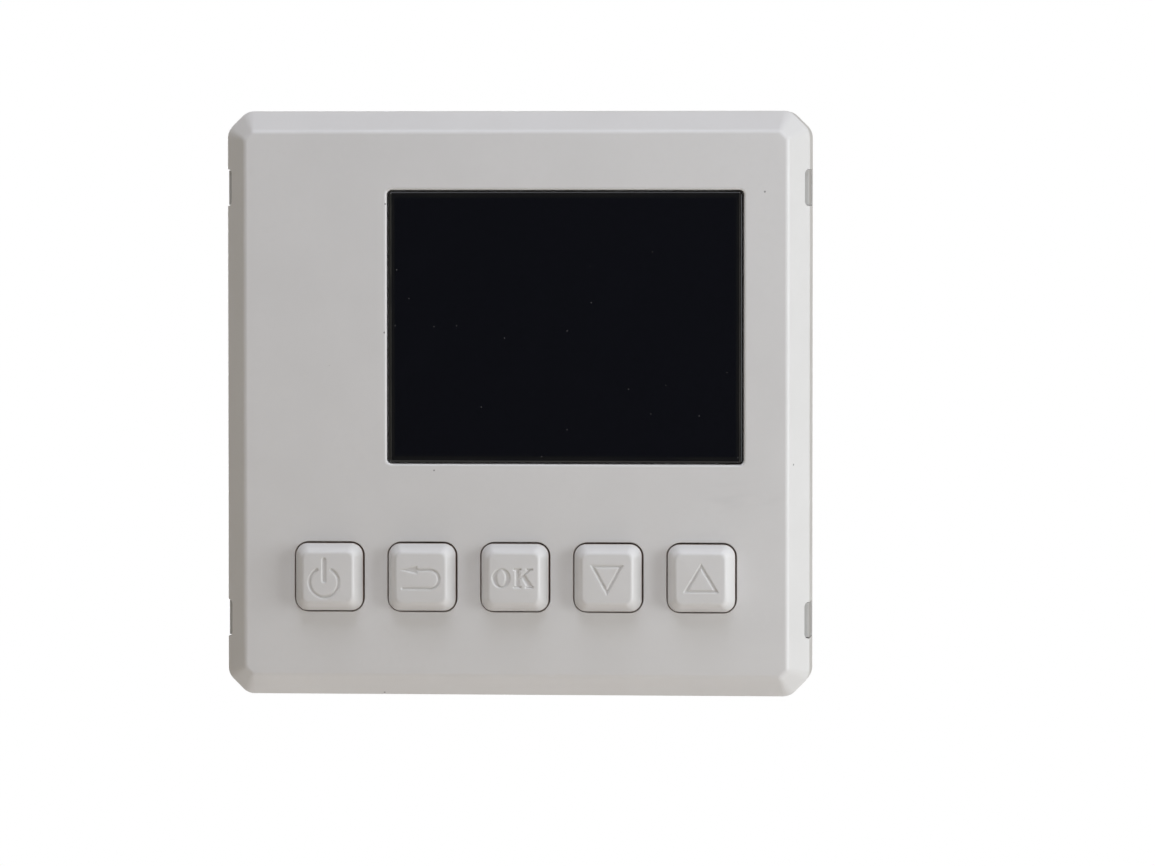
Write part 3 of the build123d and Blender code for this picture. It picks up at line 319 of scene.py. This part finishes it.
def sintered(name, colour):
    finish = Finish(name, colour, 0.6)
    finish.paint(finish.ease(finish.noise(0.3 * MM, 4), 0.45, 0.7), scaled(colour, 1.6))
    finish.bump(finish.noise(0.2 * MM, 4), 0.03 * MM)
    return finish


def foam(name, colour):
    finish = Finish(name, colour, 0.9)
    finish.paint(finish.dots(0.2 * MM, 0.08 * MM, 0.8), scaled(colour, 0.4))
    finish.bump(finish.noise(0.12 * MM, 3), 0.03 * MM)
    return finish


FINISHES = {
    "cover_plastic": cover_plastic,
    "base_plastic": base_plastic,
    "lens": lens,
    "adhesive": foam,
    "tray_steel": steel,
    "lcd_glass": glass,
    "guide": base_plastic,
    "flex": film_sheet,
    "board": circuit_board,
    "black_plastic": dark_plastic,
    "ceramic_parts": ceramic,
    "plunger": dark_plastic,
    "screw_steel": steel,
    "pin_brass": steel,
    "relay_case": glossy_plastic,
    "ferrite": sintered,
    "coil_tape": wound_tape,
    "capacitor_sleeve": glossy_plastic,
    "film_case": glossy_plastic,
    "varistor_coat": ceramic,
    "fuse_body": glossy_plastic,
    "terminal_plastic": dark_plastic,
}
TONES = {
    "cover_plastic": (0.735, 0.725, 0.715),
    "base_plastic": (0.70, 0.69, 0.66),
    "lens": (0.0052, 0.0055, 0.0076),
}

colours = {entry["slot"]: entry["base_color"] for entry in frame["record"]["materials"]}
colours.update(TONES)
materials = {slot: FINISHES[slot](slot, colour).material for slot, colour in colours.items()}
for subpart in frame["record"]["subparts"]:
    slots = nodes[subpart["node"]].data.materials
    slots.clear()
    slots.append(materials[subpart["material_slot"]])
# The snap hooks get a darker grey as painted shade in the cover's slots.
nodes["snap_hooks"].data.materials.clear()
nodes["snap_hooks"].data.materials.append(shaded_hook_plastic("shaded_hook_plastic", HOOK_SHADE_TONE).material)

# ---- Push caps ----------------------------------------------------------------------------------
# Lengths on a cap are in millimetres from its centre, x to the right and z up. Heights are in
# millimetres off the wall.

LINE = 0.36
SYMBOL_DEPTH = 0.24
SYMBOL_SOFTNESS = 0.11
CAP_GRID = 84


def to_segment(x, z, start, end):
    """Distance from a point to a straight stroke's centre line."""
    run_x, run_z = end[0] - start[0], end[1] - start[1]
    along = ((x - start[0]) * run_x + (z - start[1]) * run_z) / (run_x**2 + run_z**2)
    along = min(1, max(0, along))
    return math.hypot(x - start[0] - along * run_x, z - start[1] - along * run_z)


def to_polygon(x, z, corners):
    """Distance to a convex polygon's outline, less than 0 inside it. Its corners run anticlockwise."""
    outline = min(to_segment(x, z, corners[i - 1], corners[i]) for i in range(len(corners)))
    inside = all(
        (b[0] - a[0]) * (z - a[1]) - (b[1] - a[1]) * (x - a[0]) >= 0
        for a, b in zip(corners, corners[1:] + corners[:1])
    )
    return -outline if inside else outline


def bar(x, z, left, right, low, high):
    return to_polygon(x, z, [(left, low), (right, low), (right, high), (left, high)])


def power_symbol(x, z):
    """An open ring with an upright bar through its gap."""
    x, z = x + 0.55, z + 0.75
    radius, gap, bar_width, bar_length = 2.15, math.radians(30), 0.62, 3.6
    if abs(math.atan2(x, z)) < gap:
        ring = math.hypot(abs(x) - radius * math.sin(gap), z - radius * math.cos(gap)) - LINE / 2
    else:
        ring = abs(math.hypot(x, z) - radius) - LINE / 2
    stroke = to_segment(x, z, (0, bar_width / 2), (0, bar_length - bar_width / 2)) - bar_width / 2
    return min(ring, stroke)


def return_symbol(x, z):
    """An arrow that runs right, turns back on itself and points left."""
    top, bottom, tip, tail, turn_x, head, half = 1.15, -1.55, -2.9, -2.65, 1.34, 2.4, 0.55
    radius, middle = (top - bottom) / 2, (top + bottom) / 2
    strokes = [
        to_segment(x, z, (tip + head - 0.2, top), (turn_x, top)) - LINE / 2,
        to_segment(x, z, (tail, bottom), (turn_x, bottom)) - LINE / 2,
        to_polygon(x, z, [(tip, top), (tip + head, top - half), (tip + head, top + half)]),
    ]
    if x > turn_x:
        strokes.append(abs(math.hypot(x - turn_x, z - middle) - radius) - LINE / 2)
    return min(strokes)


def ellipse(x, z, across, up):
    """Roughly the distance to an upright ellipse's outline, less than 0 inside it."""
    far = math.hypot(x / across, z / up)
    slope = math.hypot(x / across**2, z / up**2)
    return (far - 1) * far / slope if slope > 1e-6 else -min(across, up)


def ok_symbol(x, z):
    """The two letters of a plain confirm key, in thick and thin strokes."""
    size, half, stem_x, stem, serif, thin = 0.92, 1.55, 0.62, 0.31, 0.61, 0.26
    x, z = x / size, z / size
    letter_o = max(ellipse(x + 2.0, z, 1.42, half), -ellipse(x + 2.0, z, 0.72, half - thin))
    strokes = [letter_o, bar(x, z, stem_x - stem, stem_x + stem, -half, half)]
    for left, right in ((stem_x - serif, stem_x + serif), (2.02, 3.08)):
        strokes.append(bar(x, z, left, right, half - thin, half))
    for left, right in ((stem_x - serif, stem_x + serif), (1.93, 3.15)):
        strokes.append(bar(x, z, left, right, -half, thin - half))
    arm = [(0.9, -0.3), (2.75, half - thin), (2.35, half - thin), (0.9, 0.05)]
    leg = [(1.2, 0.2), (2.15, thin - half), (3.0, thin - half), (1.75, 0.6)]
    strokes += [to_polygon(x, z, arm), to_polygon(x, z, leg)]
    return size * min(strokes)


def triangle(x, z, width, tall, way):
    """The outline of an isosceles triangle that points up for way 1, or down for way -1."""
    z = z * way
    filled = to_polygon(x, z, [(-width / 2, -tall / 2), (width / 2, -tall / 2), (0, tall / 2)])
    return abs(filled + LINE / 2) - LINE / 2


def down_symbol(x, z):
    return triangle(x, z + 0.2, 4.75, 4.3, -1)


def up_symbol(x, z):
    return triangle(x - 0.1, z - 0.1, 5.05, 4.2, 1)


SYMBOLS = {
    "power": power_symbol,
    "return": return_symbol,
    "ok": ok_symbol,
    "down": down_symbol,
    "up": up_symbol,
}


def round_corner(before, corner, after, radius, steps):
    """Points of the arc that rounds a corner of a profile."""
    a = (Vector(before) - Vector(corner)).normalized()
    b = (Vector(after) - Vector(corner)).normalized()
    half_angle = a.angle(b) / 2
    centre = Vector(corner) + (a + b).normalized() * radius / math.sin(half_angle)
    first = (Vector(corner) + a * radius / math.tan(half_angle) - centre).normalized()
    last = (Vector(corner) + b * radius / math.tan(half_angle) - centre).normalized()
    return [centre + radius * first.slerp(last, i / steps).normalized() for i in range(steps + 1)]


def outline_point(half, corner, u, v):
    """The point of a rounded square that matches (u, v) on the outline of a square from -1 to 1."""
    across_is_x = abs(u) >= abs(v)
    side, share = (u, v) if across_is_x else (v, u)
    straight = half - corner
    run = abs(share) * (straight + corner * math.pi / 4)
    if run <= straight:
        across, along = half, run
    else:
        turn = (run - straight) / corner
        across, along = straight + corner * math.cos(turn), straight + corner * math.sin(turn)
    across, along = math.copysign(across, side), math.copysign(along, share)
    return (across, along) if across_is_x else (along, across)


def grid_edge(count):
    """The grid's outer points in order round it."""
    loop = [(i, 0) for i in range(count)] + [(count, i) for i in range(count)]
    return loop + [(count - i, count) for i in range(count)] + [(0, count - i) for i in range(count)]


FOOT_HALF, FOOT_CORNER, FOOT_ROUND = 4.95, 1.75, 0.5
TOP_HALF, TOP_CORNER, TOP_ROUND = 3.78, 1.0, 0.6
FLANGE_HALF, FLANGE_CORNER = 5.8, 1.0
STUB_RADIUS = 1.7
BEVEL_TALL = 2.3
STUB_TALL, FLANGE_THICK = 0.4, 0.8
CROWN = 0.07
CREASE = math.radians(40)
# The caps hang this far low and left in their openings.
CAP_SETTLE = 0.04 * MM


def cap_mesh(name, symbol, centre_x, centre_z, back, top):
    """A push cap as one closed skin: stub, flange, skirt, soft bevel and a slightly crowned top."""
    foot = top - BEVEL_TALL
    flange_back = back + STUB_TALL
    flange_front = flange_back + FLANGE_THICK
    bevel_low, bevel_high = (FOOT_HALF, foot), (TOP_HALF, top)
    profile = round_corner((FOOT_HALF, flange_front), bevel_low, bevel_high, FOOT_ROUND, 4)
    profile += round_corner(bevel_low, bevel_high, (0, top), TOP_ROUND, 8)
    slant = (FOOT_CORNER - TOP_CORNER) / (FOOT_HALF - TOP_HALF)
    rings = [
        (STUB_RADIUS, STUB_RADIUS, back),
        (STUB_RADIUS, STUB_RADIUS, flange_back),
        (FLANGE_HALF, FLANGE_CORNER, flange_back),
        (FLANGE_HALF, FLANGE_CORNER, flange_front),
        (FOOT_HALF, FOOT_CORNER, flange_front),
    ]
    rings += [(half, TOP_CORNER + slant * (half - TOP_HALF), height) for half, height in profile]
    inner_half, inner_corner, _ = rings[-1]

    mesh = bmesh.new()

    def vertex(x, z, height):
        reach = max(abs(x), abs(z)) / TOP_HALF
        if height > foot + BEVEL_TALL / 2:
            depth = SYMBOL_DEPTH * smooth(-symbol(x, z) / SYMBOL_SOFTNESS)
            height -= depth + CROWN * min(1, reach) ** 2
        return mesh.verts.new((centre_x + x * MM, -height * MM, centre_z + z * MM))

    def share(i):
        """A grid line's place from -1 to 1."""
        return 2 * i / CAP_GRID - 1

    edge = grid_edge(CAP_GRID)
    loops = []
    for half, corner, height in rings[:-1]:
        points = [outline_point(half, corner, share(i), share(j)) for i, j in edge]
        loops.append([vertex(x, z, height) for x, z in points])
    grid = {}
    for i in range(CAP_GRID + 1):
        for j in range(CAP_GRID + 1):
            u, v = share(i), share(j)
            reach = max(abs(u), abs(v))
            x, z = 0.0, 0.0
            if reach > 0:
                x, z = outline_point(inner_half * reach, inner_corner * reach**4, u / reach, v / reach)
            grid[i, j] = vertex(x, z, top)
    loops.append([grid[place] for place in edge])
    mesh.faces.new(loops[0])
    for lower, upper in zip(loops, loops[1:]):
        for i in range(len(edge)):
            mesh.faces.new((lower[i - 1], lower[i], upper[i], upper[i - 1]))
    for i in range(CAP_GRID):
        for j in range(CAP_GRID):
            mesh.faces.new((grid[i, j], grid[i + 1, j], grid[i + 1, j + 1], grid[i, j + 1]))
    bmesh.ops.recalc_face_normals(mesh, faces=mesh.faces)
    for side in mesh.edges:
        side.smooth = side.calc_face_angle(0) < CREASE
    for face in mesh.faces:
        face.smooth = True
    data = bpy.data.meshes.new(name)
    mesh.to_mesh(data)
    mesh.free()
    return data


def smooth(value):
    """0 below -1, 1 above 1, and an even curve between."""
    share = min(1, max(0, (value + 1) / 2))
    return share * share * (3 - 2 * share)


cap_finish = cap_plastic("cap_plastic", colours["cover_plastic"]).material
for name, symbol in SYMBOLS.items():
    node = "button_" + name
    low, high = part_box(node)
    centre_x, centre_z = (low.x + high.x) / 2 - CAP_SETTLE, (low.z + high.z) / 2 - CAP_SETTLE
    data = cap_mesh("cap_" + name, symbol, centre_x, centre_z, -high.y / MM, -low.y / MM)
    cap = bpy.data.objects.new("cap_" + name, data)
    bpy.context.scene.collection.objects.link(cap)
    data.materials.append(cap_finish)
    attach(cap, node)
    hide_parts(node)

# ---- Floor, light and camera --------------------------------------------------------------------

FLOOR_Z = -0.25
FLOOR_BACK = 0.15
FLOOR_FRONT = -0.75
FLOOR_SIDE = 0.55
FLOOR_LIGHT_Z = -0.06
CAMERA_PLACE = (0.094, -1.0087, 0.030)
CAMERA_DIP = math.radians(1.96)
CAMERA_TURN = math.radians(4.87)
FOCAL_LENGTH = 212.7
DARK_EDGE = math.radians(38)
DARK_CORE = math.radians(16)


def studio_floor():
    """A pale floor below the part."""
    mesh = bmesh.new()
    front = [(-FLOOR_SIDE, FLOOR_FRONT), (FLOOR_SIDE, FLOOR_FRONT)]
    back = [(FLOOR_SIDE, FLOOR_BACK), (-FLOOR_SIDE, FLOOR_BACK)]
    mesh.faces.new([mesh.verts.new((x, y, FLOOR_Z)) for x, y in front + back])
    data = bpy.data.meshes.new("studio_floor")
    mesh.to_mesh(data)
    mesh.free()
    floor = bpy.data.objects.new("studio_floor", data)
    bpy.context.scene.collection.objects.link(floor)
    finish = Finish("studio_floor", (0.8, 0.81, 0.84), 0.8)
    finish.paint(finish.ease(finish.noise(40 * MM, 3), 0.3, 0.7), (0.78, 0.79, 0.82))
    data.materials.append(finish.material)


def soft_light(name, direction, distance, size, level, colour):
    """A square light that faces the part. level is what it adds to a white surface that faces it."""
    data = bpy.data.lights.new(name, "AREA")
    data.size = size
    data.energy = level * (math.pi * distance) ** 2
    data.color = colour
    light = bpy.data.objects.new(name, data)
    bpy.context.scene.collection.objects.link(light)
    towards = Vector(direction).normalized()
    light.location = towards * distance
    light.rotation_euler = towards.to_track_quat("Z", "Y").to_euler()
    light.visible_camera = False


def floor_light(level, colour):
    """A wide light just under the part. It faces down, so that only the floor gets it directly."""
    data = bpy.data.lights.new("floor_light", "AREA")
    data.shape = "RECTANGLE"
    data.size, data.size_y = 2 * FLOOR_SIDE, FLOOR_BACK - FLOOR_FRONT
    data.energy = level * math.pi * data.size * data.size_y
    data.color = colour
    light = bpy.data.objects.new("floor_light", data)
    bpy.context.scene.collection.objects.link(light)
    light.location = (0, (FLOOR_BACK + FLOOR_FRONT) / 2, FLOOR_LIGHT_Z)
    light.visible_camera = False


def soft_world(ambient, dark, backdrop):
    """Even ambient light that is darker straight ahead of the part, in front of a white backdrop."""
    world = bpy.data.worlds.new("studio")
    bpy.context.scene.world = world
    world.use_nodes = True
    tree = world.node_tree
    tree.nodes.clear()
    link = tree.links.new
    direction = tree.nodes.new("ShaderNodeTexCoord")
    parts = tree.nodes.new("ShaderNodeSeparateXYZ")
    link(direction.outputs["Generated"], parts.inputs[0])
    ahead = tree.nodes.new("ShaderNodeMapRange")
    link(parts.outputs["Y"], ahead.inputs["Value"])
    ahead.inputs["From Min"].default_value = -math.cos(DARK_EDGE)
    ahead.inputs["From Max"].default_value = -math.cos(DARK_CORE)
    tint = tree.nodes.new("ShaderNodeMix")
    tint.data_type = "RGBA"
    link(ahead.outputs[0], tint.inputs[0])
    tint.inputs[6].default_value = (*ambient, 1)
    tint.inputs[7].default_value = (*dark, 1)
    room = tree.nodes.new("ShaderNodeBackground")
    link(tint.outputs[2], room.inputs["Color"])
    white = tree.nodes.new("ShaderNodeBackground")
    white.inputs["Color"].default_value = (*backdrop, 1)
    ray = tree.nodes.new("ShaderNodeLightPath")
    mix = tree.nodes.new("ShaderNodeMixShader")
    link(ray.outputs["Is Camera Ray"], mix.inputs[0])
    link(room.outputs[0], mix.inputs[1])
    link(white.outputs[0], mix.inputs[2])
    out = tree.nodes.new("ShaderNodeOutputWorld")
    link(mix.outputs[0], out.inputs["Surface"])


def camera():
    """The viewpoint: a metre in front, a little right of the middle and above it."""
    data = bpy.data.cameras.new("camera")
    data.sensor_width = 36
    data.lens = FOCAL_LENGTH
    data.clip_start = 0.01
    eye = bpy.data.objects.new("camera", data)
    bpy.context.scene.collection.objects.link(eye)
    eye.location = CAMERA_PLACE
    eye.rotation_euler = (math.pi / 2 - CAMERA_DIP, 0, CAMERA_TURN)
    bpy.context.scene.camera = eye


studio_floor()
floor_light(0.28, (1.0, 0.965, 0.9))
soft_world(ambient=(0.159, 0.128, 0.072), dark=(0.022, 0.024, 0.034), backdrop=(1, 1, 1))
soft_light("right_window", (0.94, -0.34, 0.0), 0.34, 0.22, 0.71, (0.908, 0.952, 1.0))
soft_light("sky", (0.0, -0.34, 0.94), 0.45, 0.35, 0.65, (0.841, 0.885, 1.0))
soft_light("bounce", (0.0, -0.34, -0.94), 0.25, 0.3, 0.075, (1.0, 0.56, 0.12))
soft_light("front_fill", (-0.35, -1.0, 0.45), 0.9, 0.25, 0.12, (0.909, 0.931, 1.0))
soft_light("back_fill", (-0.4, 1.0, 0.1), 0.8, 0.5, 0.62, (0.96, 0.98, 1.0))
camera()
bpy.context.scene.view_settings.view_transform = "Standard"
